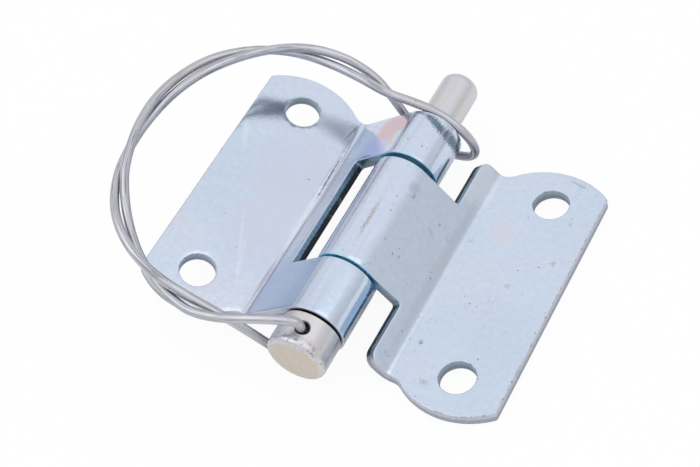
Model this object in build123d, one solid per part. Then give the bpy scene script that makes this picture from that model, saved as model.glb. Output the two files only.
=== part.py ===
from build123d import *
import os
from math import atan2, cos, degrees, pi, radians, sin, sqrt

# Driving dimensions, in millimetres and degrees.
# The frame: origin midway between the fixed leaf's two holes, on its mounting face.
# +X points away from the pin, +Y runs along the pin towards its tip, +Z leaves the mounting face.

# Both leaves
sheet = 3.0
hole_dia = 9.0
hole_spacing = 54.5
hole_to_pin = 33.5
hole_to_outer_edge = 12.5
pin_height = 13.0
ramp_angle = 52.7
bend_radius = 2.0
root_width = 64.4
end_arc_radius = 20.0
end_arc_centre = 17.5
end_blend_radius = 4.5
outer_corner_radius = 0.8
knuckle_wrap = 288.0
stub_height = 6.3
stub_corner_radius = 3.0
notch_corner_radius = 0.8

# The knuckles along the pin
centre_knuckle = 32.1
centre_knuckle_shift = 0.4
window = 34.1
window_shift = 0.7

# How far the swinging leaf is lifted about the pin
fold = 20.0

# The pin
pin_dia = 10.0
pin_clearance = 0.08
head_dia = 15.2
head_length = 9.2
head_gap = 0.3
head_edge_radius = 1.3
shoulder_chamfer = 0.4
tip_length = 18.1
tip_edge_radius = 2.6
tip_edge_turn = 70.0
cross_hole_dia = 3.5
cross_hole_from_face = 4.9
cross_hole_angle = 79.0
cross_hole_chamfer = 0.25

# The retaining wire
wire_dia = 2.3
wire_clearance = 0.25
wire_lean = 0.4
hole_bend_radius = 3.6
lower_bend_radius = 2.3
arc_share = 0.45

# Worked out from the sizes above
pin_radius = pin_dia / 2
bore_radius = pin_radius + pin_clearance
knuckle_radius = bore_radius + sheet
ramp_normal_angle = 90 - ramp_angle
outer_edge = hole_to_pin + hole_to_outer_edge
root_half = root_width / 2
pin_axis = Axis((-hole_to_pin, 0, pin_height), (0, 1, 0))
tip_end = root_half + tip_length
shoulder = -root_half - head_gap
head_face = shoulder - head_length
cross_hole_y = head_face + cross_hole_from_face
# The wire passes the far knuckle's end by its clearance, and so the ring is as long as the knuckles allow.
ring_half = root_half + wire_clearance + wire_dia / 2
cut_margin = 1.0
close_enough = 0.001


def on_ramp(up: float, out: float) -> tuple[float, float]:
    """A point of the section: up the ramp's upper face from its foot, and out of that face."""
    a = radians(ramp_normal_angle)
    top = -pin_height + sheet
    foot = (knuckle_radius - top * sin(a)) / cos(a)
    return (foot - up * sin(a) + out * cos(a), top + up * cos(a) + out * sin(a))


def leaf_section() -> Sketch:
    """The strap seen along the pin: flat, bend, ramp and rolled knuckle, with the pin axis at (0, 0)."""
    a = radians(ramp_normal_angle)
    bottom = -pin_height
    top = bottom + sheet
    outer_bend = bend_radius + sheet
    bend_y = top + bend_radius
    bend_x = (knuckle_radius + bend_radius - bend_y * sin(a)) / cos(a)
    bend = (bend_x, bend_y)
    # The arcs of the bend run from straight below its centre to the ramp's normal.
    turn = 90 - ramp_normal_angle
    with BuildSketch(Plane.XZ) as section:
        with BuildLine():
            lower = CenterArc(bend, outer_bend, 270, -turn)
            upper = CenterArc(bend, bend_radius, 270, -turn)
            inner = CenterArc((0, 0), bore_radius, ramp_normal_angle, knuckle_wrap)
            outer = CenterArc((0, 0), knuckle_radius, ramp_normal_angle, knuckle_wrap)
            Line(lower @ 1, inner @ 0)
            Line(inner @ 1, outer @ 1)
            Line(outer @ 0, upper @ 1)
            Line(upper @ 0, (outer_edge, top))
            Line((outer_edge, top), (outer_edge, bottom))
            Line((outer_edge, bottom), lower @ 0)
        make_face()
    return section.sketch


def leaf_outline() -> Sketch:
    """The blank seen from above: straight outer edge, convex ends, and a blend in to the ramp's width."""
    arc_x = hole_to_pin
    corner_y = end_arc_centre + sqrt(end_arc_radius**2 - hole_to_outer_edge**2)
    blend_y = root_half + end_blend_radius
    reach = end_arc_radius + end_blend_radius
    blend_x = arc_x - sqrt(reach**2 - (blend_y - end_arc_centre) ** 2)
    blend_turn = degrees(atan2(blend_y - end_arc_centre, blend_x - arc_x))
    corner_turn = degrees(atan2(corner_y - end_arc_centre, hole_to_outer_edge))
    back = -knuckle_radius - cut_margin
    with BuildSketch() as half:
        with BuildLine():
            convex = CenterArc((arc_x, end_arc_centre), end_arc_radius, corner_turn, blend_turn - corner_turn)
            concave = CenterArc((blend_x, blend_y), end_blend_radius, 270, blend_turn - 90)
            Line((outer_edge, 0), convex @ 0)
            Line(concave @ 0, (back, root_half))
            Line((back, root_half), (back, 0))
            Line((back, 0), (outer_edge, 0))
        make_face()
    return half.sketch + mirror(half.sketch, about=Plane.XZ)


def knuckle_cut(start: float, end: float) -> Part:
    """What is cut from the ramp and the roll between two places along the pin."""
    corner = on_ramp(stub_height, -2 * knuckle_radius - cut_margin)
    a = radians(ramp_normal_angle)
    across = Plane(
        origin=(corner[0], (start + end) / 2, corner[1]),
        x_dir=(-sin(a), 0, cos(a)),
        z_dir=(cos(a), 0, sin(a)),
    )
    length = 2 * outer_edge
    depth = 2 * knuckle_radius + 2 * cut_margin
    return across * Pos(length / 2, 0, depth / 2) * Box(length, end - start, depth)


def edges_across_sheet(leaf: Part) -> ShapeList:
    """The sharp edges that run through the sheet of the ramp, from face to face, at the cuts' inner ends."""
    a = radians(ramp_normal_angle)
    normal = Vector(cos(a), 0, sin(a))
    found = ShapeList()
    for edge in leaf.edges().filter_by(GeomType.LINE):
        runs_through = abs(edge.tangent_at(0.5).dot(normal)) > 1 - close_enough
        if runs_through and abs(edge.length - sheet) < close_enough:
            found.append(edge)
    return found


def leaf(cuts: list[tuple[float, float]]) -> Part:
    """One leaf, with the pin axis along Y through the origin and its plate towards +X."""
    strap = extrude(leaf_section(), amount=root_width, both=True)
    height = 2 * (pin_height + knuckle_radius)
    blank = extrude(leaf_outline(), amount=height, both=True)
    body = strap & blank
    for start, end in cuts:
        body -= knuckle_cut(start, end)
    stub_corners = [e for e in edges_across_sheet(body) if abs(abs(e.center().Y) - root_half) < close_enough]
    if stub_corners:
        body = fillet(stub_corners, stub_corner_radius)
    notch_limit = root_half - stub_corner_radius - cut_margin
    notch_corners = [e for e in edges_across_sheet(body) if abs(e.center().Y) < notch_limit]
    body = fillet(notch_corners, notch_corner_radius)
    corners = body.edges().filter_by(Axis.Z).group_by(Axis.X)[-1]
    body = fillet(corners, outer_corner_radius)
    for side in (-1, 1):
        centre = (hole_to_pin, side * hole_spacing / 2, -pin_height + sheet / 2)
        body -= Pos(*centre) * Cylinder(hole_dia / 2, sheet + 2 * cut_margin)
    return body


def one_knuckle_leaf() -> Part:
    """The leaf whose single knuckle fills the window; its plate lies on the mounting face."""
    knuckle_start = centre_knuckle_shift - centre_knuckle / 2
    knuckle_end = centre_knuckle_shift + centre_knuckle / 2
    past_end = root_half + cut_margin
    shape = leaf([(-past_end, knuckle_start), (knuckle_end, past_end)])
    return Pos(-hole_to_pin, 0, pin_height) * shape


def two_knuckle_leaf() -> Part:
    """The leaf with a window between two knuckles, turned over the pin and lifted by the fold."""
    shape = leaf([(window_shift - window / 2, window_shift + window / 2)])
    placed = Pos(-hole_to_pin, 0, pin_height) * mirror(shape, about=Plane.YZ)
    return placed.rotate(pin_axis, fold)


def hinge_pin() -> Part:
    """The headed pin: a turned profile about Y, cross drilled through the head."""
    head_radius = head_dia / 2
    edge_x = pin_radius - tip_edge_radius
    edge_y = tip_end - tip_edge_radius
    # The tip's dome is a sphere that meets its rounded edge without a corner.
    dome_radius = tip_edge_radius + edge_x / cos(radians(tip_edge_turn))
    dome_drop = edge_x * sin(radians(tip_edge_turn)) / cos(radians(tip_edge_turn))
    with BuildSketch() as profile:
        with BuildLine():
            face = Line((0, head_face), (head_radius - head_edge_radius, head_face))
            rim = CenterArc((head_radius - head_edge_radius, head_face + head_edge_radius), head_edge_radius, 270, 90)
            Line(rim @ 1, (head_radius, shoulder - shoulder_chamfer))
            Line((head_radius, shoulder - shoulder_chamfer), (head_radius - shoulder_chamfer, shoulder))
            Line((head_radius - shoulder_chamfer, shoulder), (pin_radius, shoulder))
            tip = CenterArc((edge_x, edge_y), tip_edge_radius, 0, tip_edge_turn)
            Line((pin_radius, shoulder), tip @ 0)
            crown = CenterArc((0, edge_y - dome_drop), dome_radius, tip_edge_turn, 90 - tip_edge_turn)
            Line(crown @ 1, face @ 0)
        make_face()
    turned = revolve(profile.sketch, Axis.Y)
    drill = Plane(
        origin=(0, cross_hole_y, 0),
        z_dir=(cos(radians(cross_hole_angle)), 0, sin(radians(cross_hole_angle))),
    )
    turned -= drill * Cylinder(cross_hole_dia / 2, head_dia + 2 * cut_margin)
    mouths = turned.edges().filter_by(
        lambda e: e.geom_type not in (GeomType.LINE, GeomType.CIRCLE)
        and abs(e.center().Y - cross_hole_y) < cross_hole_dia
    )
    turned = chamfer(mouths, cross_hole_chamfer)
    return Pos(-hole_to_pin, 0, pin_height) * turned


def in_ring(away: float, along: float, out: float) -> Vector:
    """A point of the wire: away from the pin in the ring's plane, along the pin, and out of the plane."""
    lift = radians(fold)
    x = -hole_to_pin - away * cos(lift) + out * sin(lift)
    z = pin_height + away * sin(lift) + out * cos(lift)
    return Vector(x, along, z)


# The wire's route outside the head: once round, over the tip, back under it and round again.
# Each point: away from the pin axis, along the pin as a share of ring_half, out of the ring's plane.
ring_route = [
    (24.4, -1.307, 1.2),
    (34.5, -1.223, -1.2),
    (44.1, -1.080, -1.5),
    (50.9, -0.902, -0.9),
    (56.4, -0.702, 0.2),
    (60.7, -0.482, 1.2),
    (64.1, -0.113, 1.3),
    (64.2, 0.247, 1.0),
    (59.9, 0.619, 0.8),
    (52.9, 0.854, 1.1),
    (43.1, 1.018, 1.9),
    (33.0, 1.060, 2.9),
    (22.6, 1.033, 4.4),
    (14.1, 0.991, 5.4),
    (8.4, 1.000, 6.4),
    (1.2, 1.000, 7.3),
    (-6.6, 0.997, 5.3),
    (-11.5, 1.000, 0.8),
    (-11.6, 1.003, -3.7),
    (-6.5, 1.003, -6.8),
    (1.2, 1.009, -7.9),
    (8.5, 1.062, -3.6),
    (14.6, 1.098, 0.6),
    (20.5, 1.137, 3.2),
    (29.7, 1.125, 5.2),
    (39.5, 1.042, 5.1),
    (48.5, 0.860, 3.8),
    (56.3, 0.595, 2.1),
    (61.1, 0.318, 0.2),
    (63.2, -0.012, -1.1),
    (63.0, -0.324, -1.5),
    (60.8, -0.607, -1.0),
    (55.8, -0.872, 0.0),
    (47.8, -1.071, 1.1),
    (38.5, -1.179, 1.6),
    (28.1, -1.193, 0.8),
    (17.2, -1.167, -1.6),
]

# The whole route starts at the hole's upper mouth, where the wire leans towards the head's face.
wire_route = [(0.3, cross_hole_y - wire_lean, 1.0), (1.9, cross_hole_y - wire_lean, 10.9)]
wire_route += [(away, share * ring_half, out) for away, share, out in ring_route]
wire_route += [(-2.0, cross_hole_y, -11.0), (-0.3, cross_hole_y, -1.0)]


def bend_radii(points: list[Vector]) -> list[float]:
    """The radius at each corner: as large as its two runs allow, and tight where the wire enters the head."""
    radii = []
    for before, corner, after in zip(points, points[1:], points[2:]):
        run = min((corner - before).length, (after - corner).length)
        half_turn = radians((corner - before).get_angle(after - corner) / 2)
        radii.append(arc_share * run * cos(half_turn) / sin(half_turn))
    radii[0] = hole_bend_radius
    radii[-1] = lower_bend_radius
    return radii


def retaining_wire() -> Part:
    """The doubled spring wire, one tube of runs joined by tangent arcs."""
    points = [in_ring(*place) for place in wire_route]
    radii = bend_radii(points)
    path = FilletPolyline(*points, radius=radii)
    tube = sweep(Plane(origin=path @ 0, z_dir=path % 0) * Circle(wire_dia / 2), path=path)
    section_area = pi * (wire_dia / 2) ** 2
    print("wire length", round(path.length, 1), "least bend radius", round(min(radii), 1))
    print("volume over section times length", round(tube.volume / (section_area * path.length), 4))
    return tube


nodes = {
    "one_knuckle_leaf": one_knuckle_leaf(),
    "two_knuckle_leaf": two_knuckle_leaf(),
    "hinge_pin": hinge_pin(),
    "retaining_wire": retaining_wire(),
}

os.makedirs("parts", exist_ok=True)
for name, shape in nodes.items():
    export_step(shape, "parts/" + name + ".step")
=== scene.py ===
"""The looks of a trailer tailgate hinge: two pressed leaves, a headed pin and a doubled spring wire."""
import logging
import math
from dataclasses import dataclass
from enum import Enum

import bpy
import numpy as np
from bpy.types import ID, Material, Node, NodeTree, Object
from bpy.types import NodeSocket as Socket
from mathutils import Matrix, Vector
from mathutils.geometry import delaunay_2d_cdt


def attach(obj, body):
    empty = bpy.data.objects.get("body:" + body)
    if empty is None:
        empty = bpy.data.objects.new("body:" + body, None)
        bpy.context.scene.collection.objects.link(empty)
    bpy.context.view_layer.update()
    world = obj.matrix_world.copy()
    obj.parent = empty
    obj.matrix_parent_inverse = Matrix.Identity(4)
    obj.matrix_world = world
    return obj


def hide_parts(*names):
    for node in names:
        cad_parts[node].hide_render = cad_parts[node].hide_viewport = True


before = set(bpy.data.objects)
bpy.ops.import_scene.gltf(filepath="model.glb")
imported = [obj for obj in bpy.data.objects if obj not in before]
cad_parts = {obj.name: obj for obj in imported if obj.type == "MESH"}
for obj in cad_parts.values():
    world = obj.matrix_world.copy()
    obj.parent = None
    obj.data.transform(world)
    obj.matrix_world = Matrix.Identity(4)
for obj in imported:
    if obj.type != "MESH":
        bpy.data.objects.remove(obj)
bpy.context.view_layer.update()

LOG = logging.getLogger("hinge")
MM = 0.001

# Where the pin's axis lies in the shared frame, in metres, and how far the swinging leaf is lifted
PIN_X = -0.0335
PIN_Z = 0.013
FOLD = math.radians(20.0)

Value = Socket | float | tuple
Triple = tuple[float, float, float]
Colour = Triple


class Slot(Enum):
    """Names of two of the record's material slots; nothing in the script uses them."""

    SHEET = "zinc_plated_sheet"
    WIRE = "spring_wire"


class Side(Enum):
    """Which way a leaf's plate points from the pin."""

    FIXED = 1
    SWINGING = -1


class Graph:
    """A short way to write the nodes of one shader tree."""

    def __init__(self, tree: NodeTree) -> None:
        """Keeps the tree that nodes are added to."""
        self.tree = tree

    def put(self, value: Value, socket: Socket) -> None:
        """Sets one input of a node.

        Args:
            value: A socket to link, a plain value or the three numbers of a colour.
            socket: The input.
        """
        if isinstance(value, Socket):
            self.tree.links.new(value, socket)
        else:
            socket.default_value = (*value, 1.0) if socket.type == "RGBA" else value

    def add(self, kind: str, inputs: dict[str | int, Value] | None = None, **settings: object) -> Node:
        """Adds one node.

        Args:
            kind: The node's type name, without the ShaderNode that it starts with.
            inputs: Values or sockets for its inputs, by name or index.
            settings: Values for the node's own properties.

        Returns:
            The new node.
        """
        node = self.tree.nodes.new("ShaderNode" + kind)
        for name, value in settings.items():
            setattr(node, name, value)
        for key, value in (inputs or {}).items():
            self.put(value, node.inputs[key])
        return node

    def calc(self, operation: str, a: Value, b: Value = 0.0, clamp: bool = False) -> Socket:
        """One step of arithmetic on a and b, kept between 0 and 1 where clamp is set."""
        return self.add("Math", {0: a, 1: b}, operation=operation, use_clamp=clamp).outputs[0]

    def times(self, a: Value, b: Value, clamp: bool = False) -> Socket:
        """The product of a and b."""
        return self.calc("MULTIPLY", a, b, clamp)

    def plus(self, a: Value, b: Value) -> Socket:
        """The sum of a and b."""
        return self.calc("ADD", a, b)

    def minus(self, a: Value, b: Value, clamp: bool = False) -> Socket:
        """What b leaves of a."""
        return self.calc("SUBTRACT", a, b, clamp)

    def vector(self, operation: str, a: Value, b: Value) -> Socket:
        """One step of arithmetic on two vectors."""
        return self.add("VectorMath", {0: a, 1: b}, operation=operation).outputs[0]

    def scaled(self, colour: Value, factor: Value) -> Socket:
        """A colour made darker or brighter by a factor."""
        return self.add("VectorMath", {0: colour, 3: factor}, operation="SCALE").outputs[0]

    def length(self, vector: Value) -> Socket:
        """How long a vector is."""
        return self.add("VectorMath", {0: vector}, operation="LENGTH").outputs["Value"]

    def part(self, vector: Value, axis: int) -> Socket:
        """One of a vector's three numbers."""
        return self.add("SeparateXYZ", {0: vector}).outputs[axis]

    def blend(self, share: Value, a: Value, b: Value) -> Socket:
        """A mix of two colours, with the given share of b."""
        return self.add("Mix", {"Factor": share, 6: a, 7: b}, data_type="RGBA").outputs[2]

    def spread(
        self, value: Value, low: float, high: float, to_low: float = 0.0, to_high: float = 1.0
    ) -> Socket:
        """Maps what lies from low to high onto to_low to to_high, smoothed and held at both ends."""
        ends = {"Value": value, "From Min": low, "From Max": high, "To Min": to_low, "To Max": to_high}
        return self.add("MapRange", ends, interpolation_type="SMOOTHSTEP").outputs["Result"]

    def noise(self, vector: Value, scale: Value, detail: float = 2.0, roughness: float = 0.5) -> Socket:
        """A noise between 0 and 1 with scale features per metre and finer layers of the given strength."""
        inputs = {"Vector": vector, "Scale": scale, "Detail": detail, "Roughness": roughness}
        return self.add("TexNoise", inputs).outputs["Fac"]

    def stretch(self, vector: Value, scale: Triple, shift: Triple = (0, 0, 0)) -> Socket:
        """Coordinates that are scaled along each axis and then moved."""
        return self.add("Mapping", {"Vector": vector, "Scale": scale, "Location": shift}).outputs[0]


class GroupGraph(Graph):
    """The writer of a shared node group, which has named inputs and one named output."""

    def __init__(self, name: str, *numbers: str, **others: str) -> None:
        """Starts the group with its Vector input.

        Args:
            name: The group's name.
            numbers: The names of its number inputs.
            others: The kinds of its other inputs, Vector or Color, by name.
        """
        super().__init__(bpy.data.node_groups.new(name, "ShaderNodeTree"))
        for label, kind in {"Vector": "Vector", **dict.fromkeys(numbers, "Float"), **others}.items():
            self.tree.interface.new_socket(label, in_out="INPUT", socket_type="NodeSocket" + kind)
        self.given = self.tree.nodes.new("NodeGroupInput").outputs
        self.here = self.given["Vector"]

    def give(self, name: str, value: Socket, kind: str = "Float") -> NodeTree:
        """Ends the group with its output.

        Args:
            name: The output's name.
            value: What is put out.
            kind: The output's kind.

        Returns:
            The finished group.
        """
        self.tree.interface.new_socket(name, in_out="OUTPUT", socket_type="NodeSocket" + kind)
        self.put(value, self.tree.nodes.new("NodeGroupOutput").inputs[0])
        return self.tree


def empty_tree(holder: ID) -> NodeTree:
    """The node tree of a material or world, with nothing in it."""
    holder.use_nodes = True
    holder.node_tree.nodes.clear()
    return holder.node_tree


class MaterialGraph(Graph):
    """The writer of a metal material with one Principled shader."""

    def __init__(self, name: str) -> None:
        """Starts the material under its name."""
        self.material = bpy.data.materials.new(name)
        super().__init__(empty_tree(self.material))
        self.shader = self.add("BsdfPrincipled", {"Metallic": 1.0})
        self.add("OutputMaterial", {0: self.shader.outputs[0]})
        self.here = self.add("TexCoord").outputs["Object"]
        self.colour: Socket | None = None

    def surface(self) -> Socket:
        """The piece's own surface coordinates, in metres."""
        return self.add("UVMap", uv_map="surface").outputs[0]

    def use(self, group: NodeTree, **inputs: Value) -> Socket:
        """Places a shared group, which reads the place unless it is given a Vector."""
        return self.add("Group", {"Vector": self.here, **inputs}, node_tree=group).outputs[0]

    def from_pin(self) -> Socket:
        """How far a place is from the pin's axis."""
        away = self.vector("SUBTRACT", self.here, (PIN_X, 0.0, PIN_Z))
        return self.length(self.vector("MULTIPLY", away, (1.0, 0.0, 1.0)))

    def paint(self, colour: Value, share: Socket, strength: float = 1.0) -> None:
        """Lays a colour over those laid before it.

        Args:
            colour: The new colour.
            share: Where it lies, from 0 to 1.
            strength: How much of it shows there.
        """
        if strength != 1.0:
            share = self.times(share, strength)
        self.colour = self.blend(share, self.colour, colour)

    def dress(self, rough: Socket, height: Socket, relief: float) -> Material:
        """Feeds the shader with the colours laid and these.

        Args:
            rough: The metal's roughness.
            height: The height of its relief, in metres.
            relief: How much of that relief shows.

        Returns:
            The finished material.
        """
        bump = self.add("Bump", {"Height": height, "Distance": 1.0, "Strength": relief}).outputs[0]
        for name, value in (("Base Color", self.colour), ("Roughness", rough), ("Normal", bump)):
            self.put(value, self.shader.inputs[name])
        return self.material


class Effects:
    """The surface effects that several finishes share, each a node group made once."""

    def __init__(self) -> None:
        """Builds the groups."""
        self.grain = self._grain()
        self.specks = self._specks()
        self.hairlines = self._hairlines()
        self.patch = self._patch()
        self.plating = self._plating()

    def _grain(self) -> NodeTree:
        """Fine dimples and slow waves, as one height in metres."""
        graph = GroupGraph("fine_grain", "Grain", "Grain_Height", "Wave", "Wave_Height")
        given = graph.given
        fine = graph.times(graph.noise(graph.here, given["Grain"], 3.0), given["Grain_Height"])
        slow = graph.times(graph.noise(graph.here, given["Wave"], 1.0), given["Wave_Height"])
        return graph.give("Height", graph.plus(fine, slow))

    def _specks(self) -> NodeTree:
        """Scattered small stains with soft uneven rims: a mask that is 1 inside a speck."""
        graph = GroupGraph("specks", "Scale", "Share", "Size")
        given = graph.given
        waves = graph.add("TexNoise", {"Vector": graph.here, "Scale": 1800.0, "Detail": 2.0})
        moved = graph.vector("ADD", graph.here, graph.scaled(waves.outputs["Color"], 0.4 * MM))
        cells = graph.add("TexVoronoi", {"Vector": moved, "Scale": given["Scale"]}).outputs
        drawn = graph.add("SeparateColor", {0: cells["Color"]}).outputs
        size = graph.times(given["Size"], graph.spread(drawn[1], 0.0, 1.0, 0.45, 1.3))
        inner = graph.calc("DIVIDE", graph.minus(size, cells["Distance"]), size)
        kept = graph.calc("LESS_THAN", drawn[0], given["Share"])
        return graph.give("Mask", graph.times(graph.times(inner, 2.2, clamp=True), kept))

    def _hairlines(self) -> NodeTree:
        """Short thin scratches: the level lines of a slow noise, kept only in a few places."""
        graph = GroupGraph("hairlines", "Share")
        here = graph.here
        off = graph.calc("ABSOLUTE", graph.minus(graph.noise(here, 130.0, 1.0), 0.5))
        line = graph.minus(1.0, graph.calc("DIVIDE", off, 0.006), clamp=True)
        where = graph.noise(graph.stretch(here, (1, 1, 1), (0.7, 0.2, 0.4)), 210.0, 1.0)
        kept = graph.calc("GREATER_THAN", where, graph.given["Share"])
        return graph.give("Mask", graph.times(line, kept))

    def _patch(self) -> NodeTree:
        """One uneven patch: 1 at its centre, 0 past its radius, with its own turn and stretch."""
        graph = GroupGraph(
            "uneven_patch", "Turn", "Radius", "Grain", "Ragged", Centre="Vector", Stretch="Vector"
        )
        given = graph.given
        away = graph.vector("SUBTRACT", graph.here, given["Centre"])
        turned = graph.add("VectorRotate", {"Vector": away, "Angle": given["Turn"]}, rotation_type="Z_AXIS")
        length = graph.length(graph.vector("MULTIPLY", turned.outputs[0], given["Stretch"]))
        noise = graph.noise(graph.here, given["Grain"], 3.0, 0.6)
        ragged = graph.times(graph.minus(noise, 0.5), given["Ragged"])
        uneven = graph.plus(graph.calc("DIVIDE", length, given["Radius"]), ragged)
        return graph.give("Mask", graph.spread(uneven, 1.0, 0.45))

    def _plating(self) -> NodeTree:
        """The colour of blue passivated zinc: slow drifts between three tints."""
        graph = GroupGraph("plating_tint", Pale="Color", Blue="Color", Rose="Color")
        given = graph.given
        here = graph.here
        moved = graph.stretch(here, (1, 1, 1), (3.1, 1.7, 0.4))
        blue = graph.times(graph.spread(graph.noise(here, 34.0, 1.5), 0.44, 0.68), 0.4)
        rose = graph.times(graph.spread(graph.noise(moved, 36.0), 0.5, 0.74), 0.5)
        fine = graph.spread(graph.noise(here, 700.0, 3.0), 0.3, 0.7, 0.965, 1.015)
        tint = graph.blend(rose, graph.blend(blue, given["Pale"], given["Blue"]), given["Rose"])
        return graph.give("Colour", graph.scaled(tint, fine), "Color")


@dataclass(frozen=True)
class Mark:
    """A stain or tint on a leaf, or a painted shade, highlight or reflection. Its place is in the blank: u
    from the outer edge, y along the pin, in mm.
    """

    u: float
    y: float
    radius: float
    colour: Colour
    strength: float
    reach: float = 1.0
    turn: float = 0.0
    grain: float = 300.0
    ragged: float = 1.0
    rough: float = 0.0


PINK = (0.62, 0.465, 0.50)
ORANGE = (0.72, 0.50, 0.46)
VIOLET = (0.52, 0.54, 0.83)
LAVENDER = (0.60, 0.615, 0.745)
MAUVE = (0.42, 0.36, 0.44)
PALE = (0.70, 0.77, 0.85)
# Painted highlight along the swinging leaf's bend
BEND_HIGHLIGHT = (0.80, 0.84, 0.92)
BROWN = (0.40, 0.31, 0.27)
GREY = (0.30, 0.30, 0.33)
# Painted dark reflection: the wire and the hinge's shaded parts as mirrored in the knuckles
DARK_REFLECTION = (0.09, 0.15, 0.20)
BLACK = (0.08, 0.09, 0.11)

FIXED_MARKS = (
    Mark(20.6, 15.8, 3.8, (0.66, 0.64, 0.74), 0.55),
    Mark(17.8, 12.8, 1.3, (0.74, 0.67, 0.66), 0.5, reach=0.55),
    # Painted shade: a darker band along the ramp just past the bend
    Mark(30.4, 0.0, 2.0, (0.50, 0.58, 0.68), 0.5, reach=18.0, ragged=0.5),
    Mark(33.0, 26.0, 7.0, PALE, 0.7, reach=1.3),
    Mark(36.9, 4.8, 2.2, PINK, 0.45, reach=0.35, turn=-25.0, grain=900.0, ragged=2.0),
    Mark(47.1, 10.8, 2.0, (0.42, 0.50, 0.60), 0.45),
    Mark(52.6, -3.0, 0.62, BROWN, 0.65, reach=11.0, grain=2300.0, ragged=4.5),
    Mark(45.9, 8.9, 0.6, BROWN, 0.6, reach=1.8, grain=2300.0, ragged=4.0),
    Mark(36.1, 8.3, 0.35, BROWN, 0.7, reach=1.5),
    Mark(41.1, -6.6, 0.55, BROWN, 0.6, grain=2300.0, ragged=3.5),
    Mark(4.7, 10.4, 0.6, BROWN, 0.6, reach=1.5, grain=2300.0, ragged=5.0),
    Mark(5.6, 22.8, 0.5, BROWN, 0.55, grain=2300.0, ragged=5.0),
    Mark(25.0, -21.1, 0.5, BLACK, 0.7, reach=1.4, grain=2600.0, ragged=6.0),
    Mark(19.5, -31.2, 1.4, GREY, 0.5, reach=0.5, grain=2600.0, ragged=7.0),
    Mark(8.5, 35.3, 2.6, GREY, 0.5, reach=0.16, turn=-15.4, grain=2600.0, ragged=6.0),
    Mark(25.9, 33.6, 0.6, BLACK, 0.8),
)
SWINGING_MARKS = (
    Mark(20.5, 0.0, 15.0, LAVENDER, 0.62, reach=1.8, grain=120.0, ragged=1.3),
    # Painted highlight: a bright band along the ramp just past the bend
    Mark(30.9, 3.0, 5.0, BEND_HIGHLIGHT, 0.9, reach=5.2, ragged=0.5, rough=0.24),
    Mark(39.6, 21.0, 7.0, VIOLET, 0.85, reach=0.9, ragged=0.6),
    Mark(42.4, 27.8, 7.6, PINK, 0.95, reach=0.8),
    Mark(33.9, 29.9, 1.3, ORANGE, 0.7, reach=0.7),
    Mark(22.0, 27.0, 8.0, PALE, 0.2, reach=0.6, rough=0.1),
    # Painted reflection: a stippled dark band near the outer edge, where the wire is mirrored in the plate
    Mark(5.6, 24.2, 4.8, (0.27, 0.33, 0.39), 0.6, reach=0.45, turn=-46.0, grain=2300.0, ragged=1.8),
    Mark(44.5, 22.6, 1.5, ORANGE, 0.6, reach=2.0, turn=-30.0),
    Mark(29.4, 12.0, 0.45, MAUVE, 0.45, reach=40.0, turn=-1.5, ragged=0.8),
    Mark(27.6, 13.0, 0.27, BLACK, 0.8, reach=38.0, turn=-2.1, grain=900.0, ragged=1.8),
    Mark(26.3, 28.4, 0.25, BLACK, 0.6, reach=16.0, turn=11.0, grain=700.0),
    Mark(18.3, -16.6, 0.6, PALE, 0.42, reach=22.0, turn=-23.7, grain=500.0, ragged=2.2),
    Mark(19.4, -17.0, 0.4, PALE, 0.35, reach=20.0, turn=-21.0, grain=500.0, ragged=2.2),
    Mark(2.9, 13.9, 0.9, PALE, 0.45, reach=7.0, turn=-23.6, grain=500.0, ragged=1.3),
    Mark(23.5, 9.7, 0.3, BLACK, 0.7),
    # Painted reflection: a dark stippled band on the far knuckle, where the wire's loop is mirrored
    Mark(60.4, 28.9, 6.0, DARK_REFLECTION, 0.9, reach=0.34, grain=2300.0, ragged=1.6),
    Mark(55.2, 29.8, 4.8, DARK_REFLECTION, 0.85, reach=0.3, turn=21.0, grain=2300.0, ragged=1.6),
    Mark(51.3, 31.2, 3.8, DARK_REFLECTION, 0.6, reach=0.18, turn=10.0, grain=2300.0, ragged=1.2),
    Mark(54.9, 21.9, 0.4, BLACK, 0.7),
    Mark(56.3, 22.0, 0.3, BLACK, 0.6),
    # Painted reflection: a teal band and a dark band on the near knuckle, where it mirrors the dark parts
    # below it
    Mark(62.6, -24.0, 1.9, (0.36, 0.55, 0.72), 0.6, reach=5.0, ragged=0.3),
    Mark(67.6, -24.0, 3.4, DARK_REFLECTION, 0.75, reach=3.4),
)


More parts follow.
